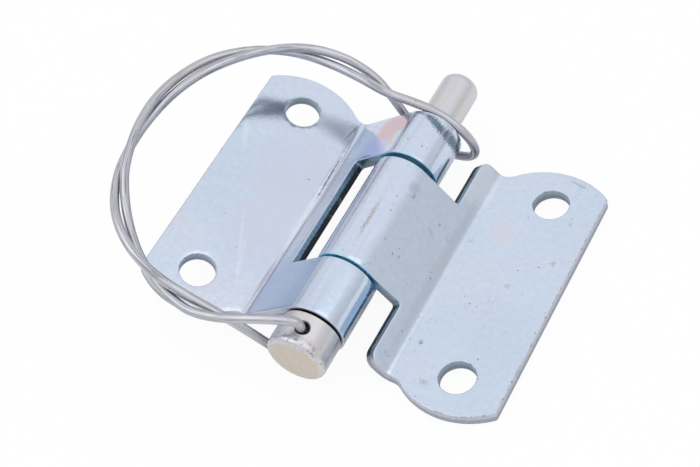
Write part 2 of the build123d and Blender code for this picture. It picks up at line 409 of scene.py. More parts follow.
@dataclass(frozen=True)
class SheetFinish:
    """Bright blue passivated zinc on pressed steel sheet.

    The marks belong to one leaf, dirt is the share of places that carry a speck, and lines_at_bend is
    how strongly the press tool's lines show there.
    """

    effects: Effects
    name: str
    marks: tuple[Mark, ...]
    dirt: float
    lines_at_bend: float
    pale: Colour = (0.60, 0.685, 0.81)
    blue: Colour = (0.53, 0.625, 0.79)
    rose: Colour = (0.64, 0.64, 0.74)
    stain: Colour = (0.25, 0.21, 0.20)
    pressed: Colour = (0.36, 0.34, 0.42)
    streak: Colour = (0.53, 0.56, 0.75)
    bend_at: float = 0.0289
    rolled_from: float = 0.0468

    def build(self) -> Material:
        """The finish of the sheet's two faces.

        Returns:
            The material.
        """
        graph = MaterialGraph(self.name)
        here = graph.here
        blank = graph.surface()
        effects = self.effects
        graph.colour = graph.use(effects.plating, Pale=self.pale, Blue=self.blue, Rose=self.rose)
        rough = graph.spread(graph.noise(here, 90.0), 0.3, 0.7, 0.1, 0.14)
        for mark in self.marks:
            mask = graph.use(
                effects.patch, Vector=blank, Centre=(mark.u * MM, mark.y * MM, 0.0),
                Turn=math.radians(mark.turn), Stretch=(1.0, 1.0 / mark.reach, 1.0),
                Radius=mark.radius * MM, Grain=mark.grain, Ragged=mark.ragged,
            )
            graph.paint(mark.colour, mask, mark.strength)
            if mark.rough:
                rough = graph.plus(rough, graph.times(mask, mark.rough))
        u = graph.part(blank, 0)
        from_bend = graph.calc("ABSOLUTE", graph.minus(u, self.bend_at))
        lines = graph.noise(graph.stretch(blank, (1.0, 0.02, 1.0)), 1500.0, 2.0, 0.6)
        pressed = graph.times(graph.spread(lines, 0.52, 0.64), graph.spread(from_bend, 0.0032, 0.0008))
        graph.paint(self.pressed, pressed, self.lines_at_bend)
        rolled = graph.spread(u, self.rolled_from - 0.002, self.rolled_from + 0.003)
        drawn = graph.noise(graph.stretch(blank, (1.0, 0.035, 1.0)), 620.0, 3.0, 0.6)
        streaks = graph.times(graph.spread(drawn, 0.5, 0.68), rolled)
        graph.paint(self.streak, streaks, 0.5)
        specks = graph.use(effects.specks, Scale=250.0, Share=self.dirt * 0.5, Size=0.07)
        dots = graph.use(effects.specks, Scale=440.0, Share=self.dirt * 1.5, Size=0.1)
        hairs = graph.use(effects.hairlines, Share=0.75 - self.dirt * 0.33)
        dirty = graph.calc("MAXIMUM", graph.times(specks, 0.5), graph.times(dots, 0.85))
        dirty = graph.calc("MAXIMUM", dirty, graph.times(hairs, 0.3))
        graph.paint(self.stain, dirty)
        rough = graph.plus(rough, graph.times(dirty, 0.3))
        height = graph.use(
            effects.grain, Grain=2200.0, Grain_Height=2.4e-5, Wave=110.0, Wave_Height=8e-6
        )
        raised = graph.times(drawn, graph.spread(rolled, 0.0, 1.0, 1.5e-6, 1.8e-5))
        raised = graph.plus(raised, graph.times(pressed, 2e-5 * self.lines_at_bend))
        return graph.dress(rough, graph.plus(height, raised), 1.0)


@dataclass(frozen=True)
class ShearedFinish:
    """The sheared wall round the blank, its holes and its window, with its worn upper edge.

    Near the pin the wall is steel blue above its ragged break and dark below it, the dark painted as shade
    that is near black where the wall doesn't face along the pin. Between the knuckles the wall is painted
    bright blue with a painted blue glow, as light falling into the gaps, and a black line is painted as the
    shadow beside the pin's head.
    """

    effects: Effects
    name: str
    edge: Colour = (0.56, 0.60, 0.68)
    worn: Colour = (0.34, 0.28, 0.25)
    burnished: Colour = (0.56, 0.60, 0.70)
    torn: Colour = (0.44, 0.47, 0.53)
    steel_blue: Colour = (0.34, 0.52, 0.64)
    torn_side: Colour = (0.34, 0.38, 0.45)
    # Painted shade for the torn wall near the pin, where it doesn't face along the pin
    torn_painted_shade: Colour = (0.06, 0.07, 0.08)
    beige: Colour = (0.42, 0.38, 0.33)
    # Painted light in the gaps between the knuckles: a bright blue, and a blue glow
    gap_painted_light: Colour = (0.30, 0.52, 0.66)
    gap_painted_glow: Colour = (0.05, 0.15, 0.24)
    # Painted shadow beside the pin's head
    head_gap_painted_shadow: Colour = (0.05, 0.055, 0.065)
    knuckle_radius: float = 0.0084
    gap_half: float = 0.0185

    def build(self) -> Material:
        """The finish of the walls.

        Returns:
            The material.
        """
        graph = MaterialGraph(self.name)
        here = graph.here
        blank = graph.surface()
        normal = graph.add("TexCoord").outputs["Normal"]
        facing = graph.calc("ABSOLUTE", graph.part(normal, 1))
        toward_tip = graph.part(here, 1)
        along = graph.calc("ABSOLUTE", toward_tip)
        reach = graph.from_pin()
        on_knuckle = graph.calc("LESS_THAN", reach, self.knuckle_radius)
        in_gap = graph.times(on_knuckle, graph.calc("LESS_THAN", along, self.gap_half))
        at_end = graph.minus(on_knuckle, in_gap)
        near = graph.times(graph.spread(reach, 0.0255, 0.0225), graph.minus(1.0, at_end))
        near = graph.times(near, graph.spread(along, 0.0318, 0.0305))
        streaks = graph.noise(graph.stretch(blank, (1.0, 0.18, 1.0)), 2600.0, 4.0, 0.65)
        depth = graph.part(blank, 1)
        ragged = graph.plus(depth, graph.times(graph.noise(blank, 700.0), 0.0009))
        torn = graph.spread(ragged, 0.0018, 0.00195)
        upper = graph.blend(near, self.burnished, self.steel_blue)
        # Painted shade: below the break near the pin the wall turns near black where it doesn't face along
        # the pin
        dark = graph.blend(graph.spread(facing, 0.35, 0.75), self.torn_painted_shade, self.torn_side)
        graph.colour = graph.blend(torn, upper, graph.blend(near, self.torn, dark))
        rusty = graph.times(graph.spread(graph.noise(here, 420.0, 3.0), 0.56, 0.7), torn)
        graph.paint(self.beige, rusty, 0.4)
        contrast = graph.spread(near, 0.0, 1.0, 0.4, 1.0)
        contrast = graph.times(graph.spread(streaks, 0.3, 0.7, -0.2, 0.2), contrast)
        graph.colour = graph.scaled(graph.colour, graph.plus(0.9, contrast))
        rim = graph.spread(depth, 0.00036, 0.00018)
        nicked = graph.spread(graph.noise(here, 900.0, 3.0, 0.6), 0.52, 0.66)
        worn = graph.times(nicked, graph.spread(reach, 0.0225, 0.0265))
        graph.paint(graph.blend(worn, self.edge, self.worn), rim)
        # Painted light: the knuckles' end walls in the gaps take a bright blue
        graph.paint(self.gap_painted_light, in_gap)
        # Painted shadow: a black line on the knuckles' ends next to the pin's head
        graph.paint(self.head_gap_painted_shadow, graph.times(at_end, graph.spread(reach, 0.00744, 0.0073)))
        # Painted glow: the gap walls emit a mottled blue light, strongest near their upper edge
        mottle = graph.spread(graph.noise(here, 1300.0, 3.0, 0.6), 0.42, 0.6, 0.25, 1.3)
        lit = graph.times(graph.times(in_gap, mottle), graph.spread(depth, 0.0013, 0.0003))
        lit = graph.times(lit, graph.spread(toward_tip, -0.01, 0.01, 0.8, 0.3))
        glow = graph.blend(lit, (0.0, 0.0, 0.0), self.gap_painted_glow)
        graph.put(glow, graph.shader.inputs["Emission Color"])
        graph.put(1.0, graph.shader.inputs["Emission Strength"])
        height = graph.times(graph.times(streaks, 6e-5), graph.spread(torn, 0.0, 1.0, 0.3, 1.0))
        return graph.dress(graph.spread(torn, 0.0, 1.0, 0.32, 0.5), height, 0.8)


@dataclass(frozen=True)
class PinFinish:
    """Satin zinc on the turned pin, with a fine beige bloom on the head's end and a dented rim."""

    effects: Effects
    side: Colour = (0.62, 0.62, 0.67)
    warm: Colour = (0.66, 0.62, 0.60)
    face: Colour = (0.72, 0.66, 0.57)
    face_grain: Colour = (0.55, 0.50, 0.44)
    dark: Colour = (0.20, 0.21, 0.25)
    face_y: float = -0.0417
    rim_radius: float = 0.0063

    def build(self) -> Material:
        """The finish of the pin.

        Returns:
            The material.
        """
        graph = MaterialGraph("plated_pin")
        here = graph.here
        effects = self.effects
        along = graph.part(here, 1)
        clouds = graph.noise(here, 210.0, 4.0, 0.6)
        graph.colour = graph.blend(graph.spread(clouds, 0.4, 0.7), self.side, self.warm)
        brushed = graph.noise(graph.stretch(here, (1.0, 0.07, 1.0)), 1500.0, 3.0, 0.6)
        graph.colour = graph.scaled(graph.colour, graph.spread(brushed, 0.3, 0.7, 0.965, 1.02))
        end = graph.calc("LESS_THAN", along, self.face_y + 0.00004)
        ragged = graph.plus(graph.from_pin(), graph.times(graph.noise(here, 600.0, 3.0), 0.0011))
        bloom = graph.times(end, graph.spread(ragged, self.rim_radius + 0.0009, self.rim_radius + 0.0002))
        grain = graph.spread(graph.noise(here, 2400.0, 3.0, 0.7), 0.42, 0.62)
        cool = graph.times(graph.spread(graph.noise(here, 700.0, 3.0, 0.6), 0.48, 0.66), 0.7)
        powder = graph.blend(cool, self.face, self.side)
        powder = graph.blend(graph.times(grain, 0.55), powder, self.face_grain)
        graph.paint(powder, bloom)
        from_rim = graph.calc("ABSOLUTE", graph.minus(along, self.face_y + 0.0010))
        near_rim = graph.spread(from_rim, 0.0021, 0.0005)
        specks = graph.use(effects.specks, Scale=520.0, Share=0.16, Size=0.14)
        nicks = graph.noise(graph.stretch(here, (1, 1, 1), (0.5, 0.1, 0.3)), 850.0, 3.0, 0.6)
        nicks = graph.times(graph.spread(nicks, 0.54, 0.64), graph.minus(near_rim, bloom, clamp=True))
        dark = graph.calc("MAXIMUM", graph.times(specks, 0.4), nicks)
        graph.paint(self.dark, dark, 0.6)
        height = graph.use(
            effects.grain, Grain=1700.0, Grain_Height=1.1e-5, Wave=260.0, Wave_Height=6e-5
        )
        height = graph.plus(height, graph.times(brushed, 2e-6))
        height = graph.plus(height, graph.times(graph.times(bloom, grain), 1.5e-5))
        dents = graph.times(graph.noise(here, 420.0), graph.spread(near_rim, 0.0, 1.0, 2e-5, 1.9e-4))
        return graph.dress(graph.spread(bloom, 0.0, 1.0, 0.33, 0.66), graph.plus(height, dents), 0.9)


@dataclass(frozen=True)
class WireFinish:
    """Drawn spring wire: grey, with fine lines along its length."""

    effects: Effects
    grey: Colour = (0.545, 0.55, 0.605)
    dark: Colour = (0.15, 0.145, 0.165)
    dull: Colour = (0.50, 0.49, 0.525)

    def build(self) -> Material:
        """The finish of the wire.

        Returns:
            The material.
        """
        graph = MaterialGraph("drawn_wire")
        along = graph.surface()
        lines = graph.noise(graph.stretch(along, (0.03, 1.0, 1.0)), 2900.0, 4.0, 0.65)
        wide = graph.noise(graph.stretch(along, (0.05, 1.0, 1.0), (0.3, 0.1, 0.0)), 650.0, 1.0)
        graph.colour = graph.blend(graph.spread(lines, 0.49, 0.62, 0.0, 0.75), self.grey, self.dark)
        graph.paint(self.dull, graph.spread(graph.noise(graph.here, 120.0), 0.45, 0.7))
        specks = graph.use(self.effects.specks, Scale=620.0, Share=0.2, Size=0.15)
        graph.paint(self.dark, specks, 0.6)
        height = graph.plus(graph.times(lines, 1.6e-5), graph.times(wide, 2.4e-5))
        height = graph.minus(height, graph.times(specks, 3e-5))
        return graph.dress(graph.spread(lines, 0.3, 0.7, 0.27, 0.38), height, 0.8)


def new_object(name: str, data: ID) -> Object:
    """An object at the origin that holds the data, linked to the scene."""
    thing = bpy.data.objects.new(name, data)
    bpy.context.scene.collection.objects.link(thing)
    return thing


def make_mesh(
    name: str, points: np.ndarray, faces: list[np.ndarray], uvs: np.ndarray, slots: np.ndarray,
    materials: list[Material],
) -> Object:
    """A smooth mesh object at the origin, with its place in its vertices.

    Args:
        name: The object's name.
        points: The vertices, one row each, in metres.
        faces: The triangles and the quads, as two arrays of indices.
        uvs: Two numbers for each face corner, in the order of the faces.
        slots: The material's number for each face.
        materials: The materials.

    Returns:
        The object, linked to the scene.
    """
    corners = np.concatenate([f.ravel() for f in faces])
    totals = np.concatenate([np.full(len(f), f.shape[1]) for f in faces])
    starts = np.concatenate([[0], np.cumsum(totals)[:-1]])
    mesh = bpy.data.meshes.new(name)
    mesh.vertices.add(len(points))
    mesh.vertices.foreach_set("co", points.astype(np.float32).ravel())
    mesh.loops.add(len(corners))
    mesh.loops.foreach_set("vertex_index", corners.astype(np.int32))
    mesh.polygons.add(len(totals))
    mesh.polygons.foreach_set("loop_start", starts.astype(np.int32))
    mesh.polygons.foreach_set("material_index", slots.astype(np.int32))
    mesh.polygons.foreach_set("use_smooth", np.ones(len(totals), bool))
    mesh.update(calc_edges=True)
    layer = mesh.uv_layers.new(name="surface")
    layer.data.foreach_set("uv", uvs.astype(np.float32).ravel())
    for material in materials:
        mesh.materials.append(material)
    mesh.validate()
    return new_object(name, mesh)


@dataclass(frozen=True)
class StrapSection:
    """The strap seen along the pin: flat, bend, ramp and rolled knuckle. Sizes in metres.

    A place on it is given by u, the length along its upper face from the plate's outer edge, and by
    its depth under that face. The pin's axis is at (0, 0), x points along the plate and z up.
    """

    sheet: float = 0.003
    pin_height: float = 0.013
    outer_edge: float = 0.046
    bend_radius: float = 0.002
    bore_radius: float = 0.00508
    ramp_normal: float = math.radians(37.3)
    knuckle_wrap: float = math.radians(288.0)
    stub_height: float = 0.0063

    def parts(self) -> dict[str, float]:
        """The lengths of the four stretches and the places where they meet."""
        c = math.cos(self.ramp_normal)
        s = math.sin(self.ramp_normal)
        outer = self.bore_radius + self.sheet
        top = -self.pin_height + self.sheet
        bend_z = top + self.bend_radius
        bend_x = (outer + self.bend_radius - bend_z * s) / c
        start_x = bend_x - self.bend_radius * c
        flat = self.outer_edge - bend_x
        bend = self.bend_radius * (math.pi / 2 - self.ramp_normal)
        ramp = (start_x - outer * c) / s
        lost = ((outer - top * s) / c - start_x) / s
        return {
            "outer": outer, "top": top, "bend_x": bend_x, "bend_z": bend_z, "start_x": start_x,
            "start_z": bend_z - self.bend_radius * s, "flat": flat, "bend": bend, "ramp": ramp,
            "end": flat + bend + ramp + outer * self.knuckle_wrap,
            "cut": flat + bend + self.stub_height - lost,
        }

    def place(self, u: np.ndarray, depth: np.ndarray) -> tuple[np.ndarray, np.ndarray]:
        """Where places of the strap lie: the point of the upper face less the depth along its normal.

        Args:
            u: Lengths along the upper face.
            depth: Depths under it.

        Returns:
            The x and z of each place.
        """
        p = self.parts()
        c = math.cos(self.ramp_normal)
        s = math.sin(self.ramp_normal)
        turn = 1.5 * math.pi - (u - p["flat"]) / self.bend_radius
        bent = self.bend_radius + depth
        up = u - p["flat"] - p["bend"]
        roll = self.ramp_normal + (up - p["ramp"]) / p["outer"]
        rolled = p["outer"] - depth
        on = [u < p["flat"], u < p["flat"] + p["bend"], up < p["ramp"]]
        x = [self.outer_edge - u, p["bend_x"] + bent * np.cos(turn), p["start_x"] - up * s - depth * c]
        z = [p["top"] - depth, p["bend_z"] + bent * np.sin(turn), p["start_z"] + up * c - depth * s]
        return np.select(on, x, rolled * np.cos(roll)), np.select(on, z, rolled * np.sin(roll))


def unit(vectors: np.ndarray) -> np.ndarray:
    """The same directions, each one long."""
    return vectors / np.linalg.norm(vectors, axis=-1, keepdims=True)


def rounded(corners: list[Triple], steps: int = 7) -> np.ndarray:
    """A closed outline whose corners are arcs: each arc touches the two runs that meet there.

    Args:
        corners: For each corner, its two coordinates and its radius.
        steps: How many points an arc has.

    Returns:
        The outline's points.
    """
    places = np.array(corners, float)
    out = []
    for before, corner, after in zip(np.roll(places, 1, 0), places, np.roll(places, -1, 0)):
        radius = corner[2]
        if radius == 0:
            out.append(corner[None, :2])
            continue
        one = unit((before - corner)[:2])
        two = unit((after - corner)[:2])
        half = math.acos(float(np.clip(one @ two, -1, 1))) / 2
        centre = corner[:2] + unit(one + two) * radius / math.sin(half)
        start = corner[:2] + one * radius / math.tan(half) - centre
        stop = corner[:2] + two * radius / math.tan(half) - centre
        t = np.linspace(0, 1, steps)[:, None]
        sweep = math.pi - 2 * half
        arc = (np.sin((1 - t) * sweep) * start + np.sin(t * sweep) * stop) / math.sin(sweep)
        out.append(centre + arc)
    return np.concatenate(out)


def divided(loop: np.ndarray, step: float) -> np.ndarray:
    """The same closed outline with its long runs divided evenly.

    Args:
        loop: The outline's points.
        step: The longest run that may stay.

    Returns:
        The new points.
    """
    after = np.roll(loop, -1, 0)
    counts = np.maximum(1, np.ceil(np.linalg.norm(after - loop, axis=1) / step).astype(int))
    start = np.repeat(loop, counts, axis=0)
    run = np.repeat(after - loop, counts, axis=0)
    first = np.repeat(np.cumsum(counts) - counts, counts)
    share = (np.arange(counts.sum()) - first) / np.repeat(counts, counts)
    return start + run * share[:, None]


def outward(loop: np.ndarray) -> np.ndarray:
    """The mitred outward direction at each point of a loop that keeps the material on its left.

    Args:
        loop: The outline's points.

    Returns:
        One direction for each point, long enough that an offset keeps its distance from both runs.
    """
    before = unit(loop - np.roll(loop, 1, 0))
    after = unit(np.roll(loop, -1, 0) - loop)
    across = np.stack([before[:, 1], -before[:, 0]], 1)
    middle = unit(across + np.stack([after[:, 1], -after[:, 0]], 1))
    return middle / np.sum(middle * across, axis=1)[:, None]


def inside(points: np.ndarray, loop: np.ndarray) -> np.ndarray:
    """Whether points lie in a closed outline, by counting the runs that cross a ray from each.

    Args:
        points: The points to test.
        loop: The outline.

    Returns:
        One truth value for each point.
    """
    x, y = points.T[:, :, None]
    x1, y1 = loop.T
    x2, y2 = np.roll(loop, -1, 0).T
    rise = np.where(y2 == y1, 1e-12, y2 - y1)
    crosses = x < (x2 - x1) * (y - y1) / rise + x1
    return (((y1 > y) != (y2 > y)) & crosses).sum(axis=1) % 2 == 1


@dataclass
class Leaf:
    """One pressed leaf: a blank with rounded ends and two holes, cranked and rolled round the pin.

    The points inside the blank keep the three grid_margins clear: at the outer edge, before the bend
    and at the knuckle's end.
    """

    name: str
    node: str
    body: str
    side: Side
    materials: list[Material]
    section: StrapSection = StrapSection()
    root_half: float = 0.0322
    hole_radius: float = 0.0045
    hole_half_spacing: float = 0.02725
    hole_to_edge: float = 0.0125
    end_radius: float = 0.020
    end_centre: float = 0.0175
    blend_radius: float = 0.0045
    corner_radius: float = 0.0008
    notch_radius: float = 0.0008
    stub_radius: float = 0.003
    roll_over: float = 0.00024
    burr_round: float = 0.00012
    knuckle_corner: float = 0.3 * MM
    grid_step: float = 1.0 * MM
    grid_gap: float = 0.85 * MM
    grid_half: float = 37.0 * MM
    grid_margins: Triple = (0.8 * MM, 0.4 * MM, 0.7 * MM)
    curved_rows: int = 132
    outline_step: float = 0.9 * MM
    end_points: int = 44
    blend_points: int = 10
    hole_points: int = 72
    edge_points: int = 5
    wall_depths: tuple[float, ...] = (0.5 * MM, 1.2 * MM, 2.0 * MM, 2.7 * MM)
    knuckle: tuple[float, float] = (-0.01565, 0.01645)
    window: tuple[float, float] = (-0.01635, 0.01775)

    def end_curve(self, side: int) -> np.ndarray:
        """One convex end of the blank and its blend into the ramp's width, from the outer edge inwards.

        Args:
            side: +1 or -1, the end's direction along the pin.

        Returns:
            Points (u, y) on two arcs that touch.
        """
        ball = self.end_radius
        blend = self.blend_radius
        blend_y = self.root_half + blend
        run = math.sqrt((ball + blend) ** 2 - (blend_y - self.end_centre) ** 2)
        first = math.acos(self.hole_to_edge / ball)
        last = math.atan2(blend_y - self.end_centre, -run)
        t = np.linspace(first, last, self.end_points)
        s = np.linspace(last - math.pi, -math.pi / 2, self.blend_points)[1:]
        convex = np.stack([self.hole_to_edge - ball * np.cos(t), self.end_centre + ball * np.sin(t)], 1)
        concave = np.stack([self.hole_to_edge + run - blend * np.cos(s), blend_y + blend * np.sin(s)], 1)
        return np.concatenate([convex, concave]) * (1, side)

    def outline(self) -> np.ndarray:
        """The blank's outline in (u, y), with the material on its left."""
        p = self.section.parts()
        end = p["end"]
        cut = p["cut"]
        root = self.root_half
        tight = self.knuckle_corner
        notch = self.notch_radius
        if self.side is Side.FIXED:
            low, high = self.knuckle
            inner = [
                (cut, -root, self.stub_radius), (cut, low, notch), (end, low, tight),
                (end, high, tight), (cut, high, notch), (cut, root, self.stub_radius),
            ]
        else:
            low, high = self.window
            inner = [
                (end, -root, tight), (end, low, tight), (cut, low, notch),
                (cut, high, notch), (end, high, tight), (end, root, tight),
            ]
        near = [(u, y, 0.0) for u, y in self.end_curve(-1)]
        far = [(u, y, 0.0) for u, y in self.end_curve(1)[::-1]]
        near[0] = (*near[0][:2], self.corner_radius)
        far[-1] = (*far[-1][:2], self.corner_radius)
        return divided(rounded(near + inner + far), self.outline_step)

    def loops(self) -> list[np.ndarray]:
        """The outline and the two holes, each with the material on its left."""
        t = np.linspace(0, 2 * math.pi, self.hole_points, endpoint=False)
        ring = self.hole_radius * np.stack([np.cos(t), -np.sin(t)], 1)
        centres = [(self.hole_to_edge, side * self.hole_half_spacing) for side in (-1, 1)]
        return [self.outline()] + [ring + np.array(centre) for centre in centres]

    def grid(self, loops: list[np.ndarray]) -> np.ndarray:
        """Points inside the blank on an even grid, closer together where the sheet is curved."""
        p = self.section.parts()
        at_edge, at_bend, at_end = self.grid_margins
        flat = np.arange(at_edge, p["flat"] - at_bend, self.grid_step)
        curved = np.linspace(p["flat"], p["end"] - at_end, self.curved_rows)
        y = np.arange(-self.grid_half, self.grid_half + 0.1 * self.grid_step, self.grid_step)
        u, v = np.meshgrid(np.concatenate([flat, curved]), y, indexing="ij")
        points = np.stack([u.ravel(), v.ravel()], 1)
        kept = inside(points, loops[0])
        for loop in loops:
            gap = np.linalg.norm(points[:, None, :] - loop[None, :, :], axis=2).min(axis=1)
            kept &= gap > self.grid_gap
        for hole in loops[1:]:
            kept &= ~inside(points, hole)
        return points[kept]

    def profile(self) -> np.ndarray:
        """The rounded edge from the upper face round to the lower: inset from the outline, and depth."""
        t = np.linspace(0, math.pi / 2, self.edge_points)
        upper = self.roll_over * np.stack([1 - np.sin(t), 1 - np.cos(t)], 1)
        lower = self.burr_round * np.stack([1 - np.cos(t), np.sin(t)], 1)
        lower[:, 1] += self.section.sheet - self.burr_round
        wall = np.array([(0.0, depth) for depth in self.wall_depths])
        return np.concatenate([upper, wall, lower])

    def build(self) -> Object:
        """Makes the leaf: two faces from one set of triangles in (u, y), joined by rounded walls.

        Returns:
            The leaf's object.
        """
        loops = self.loops()
        profile = self.profile()
        border = np.concatenate(loops)
        normals = np.concatenate([outward(loop) for loop in loops])
        rings = [border - normals * inset for inset in profile[:, 0]]
        rim = len(border)
        starts = np.cumsum([len(loop) for loop in loops])[:-1]
        after = np.concatenate([np.roll(part, -1) for part in np.split(np.arange(rim), starts)])
        flat = np.concatenate([rings[0], self.grid(loops)])
        triangles = self._triangles(flat, after, np.split(rings[0], starts))
        count = len(flat)
        under = np.concatenate([rings[-1], flat[rim:]])
        uy = np.concatenate([flat, under, *rings[1:-1]])
        inner = len(rings) - 2
        depth = np.repeat([0.0, self.section.sheet, *profile[1:-1, 1]], [count, count] + [rim] * inner)
        between = 2 * count + np.arange(rim * inner).reshape(-1, rim)
        ring_at = np.concatenate([[np.arange(rim)], between, [count + np.arange(rim)]])
        quads, quad_uv = self._walls(loops, after, ring_at, profile[:, 1])
        faces = np.concatenate([triangles, triangles[:, ::-1] + count])
        if self.side is Side.FIXED:
            faces = faces[:, ::-1]
            quads = quads[:, ::-1]
            quad_uv = quad_uv[:, ::-1]
        uvs = np.concatenate([uy[faces].reshape(-1, 2), quad_uv.reshape(-1, 2)])
        wall_slots = np.tile(np.where(np.arange(rim) < len(loops[0]), 1, 2), len(rings) - 1)
        slots = np.concatenate([np.zeros(len(faces), int), wall_slots])
        thing = make_mesh(self.name, self._placed(uy, depth), [faces, quads], uvs, slots, self.materials)
        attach(thing, self.body)
        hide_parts(self.node)
        LOG.info("%s: %d faces", self.name, len(thing.data.polygons))
        return thing

    def _triangles(self, flat: np.ndarray, after: np.ndarray, loops: list[np.ndarray]) -> np.ndarray:
        """Fills the blank with triangles between its borders and the points inside.

        Args:
            flat: The border's points, then those inside.
            after: For each point of the border, the number of the next one.
            loops: The outline and the holes.

        Returns:
            The triangles' vertex numbers.
        """
        edges = list(enumerate(after.tolist()))
        found = delaunay_2d_cdt([Vector(p) for p in (flat / MM).tolist()], edges, [], 0, 1e-6)
        origin = np.array([ids[0] if ids else -1 for ids in found[3]])
        triangles = origin[np.array([face for face in found[2] if len(face) == 3])]
        triangles = triangles[(triangles >= 0).all(axis=1)]
        middle = flat[triangles].mean(axis=1)
        kept = inside(middle, loops[0])
        for hole in loops[1:]:
            kept &= ~inside(middle, hole)
        return triangles[kept]

    def _walls(
        self, loops: list[np.ndarray], after: np.ndarray, ring_at: np.ndarray, depths: np.ndarray
    ) -> tuple[np.ndarray, np.ndarray]:
        """The quads between neighbouring rings of the rounded edge.

        Args:
            loops: The outline and the holes.
            after: For each point of a ring, the number of the next one.
            ring_at: The vertex numbers, one row for each ring.
            depths: Each ring's depth.

        Returns:
            The quads, and for their corners the length along the loop and the depth.
        """
        upper = ring_at[:-1]
        lower = ring_at[1:]
        quads = np.stack([upper, lower, lower[:, after], upper[:, after]], 2).reshape(-1, 4)
        runs = [np.linalg.norm(np.roll(loop, -1, 0) - loop, axis=1) for loop in loops]
        stop = np.concatenate([np.cumsum(run) for run in runs])
        start = np.concatenate([[0.0, *np.cumsum(run)[:-1]] for run in runs])
        shape = (len(upper), len(after), 4)
        along = np.broadcast_to(np.stack([start, start, stop, stop], 1), shape)
        deep = np.stack([depths[:-1], depths[1:], depths[1:], depths[:-1]], 1)[:, None]
        return quads, np.stack([along, np.broadcast_to(deep, shape)], 3).reshape(-1, 4, 2)

    def _placed(self, uy: np.ndarray, depth: np.ndarray) -> np.ndarray:
        """Puts places of the blank where the leaf has them in the shared frame.

        Args:
            uy: Places in the blank.
            depth: Depths under its upper face.

        Returns:
            The points, in metres.
        """
        x, z = self.section.place(uy[:, 0], depth)
        if self.side is Side.SWINGING:
            c = math.cos(FOLD)
            s = math.sin(FOLD)
            x, z = -x * c + z * s, x * s + z * c
        return np.stack([x + PIN_X, uy[:, 1], z + PIN_Z], 1)


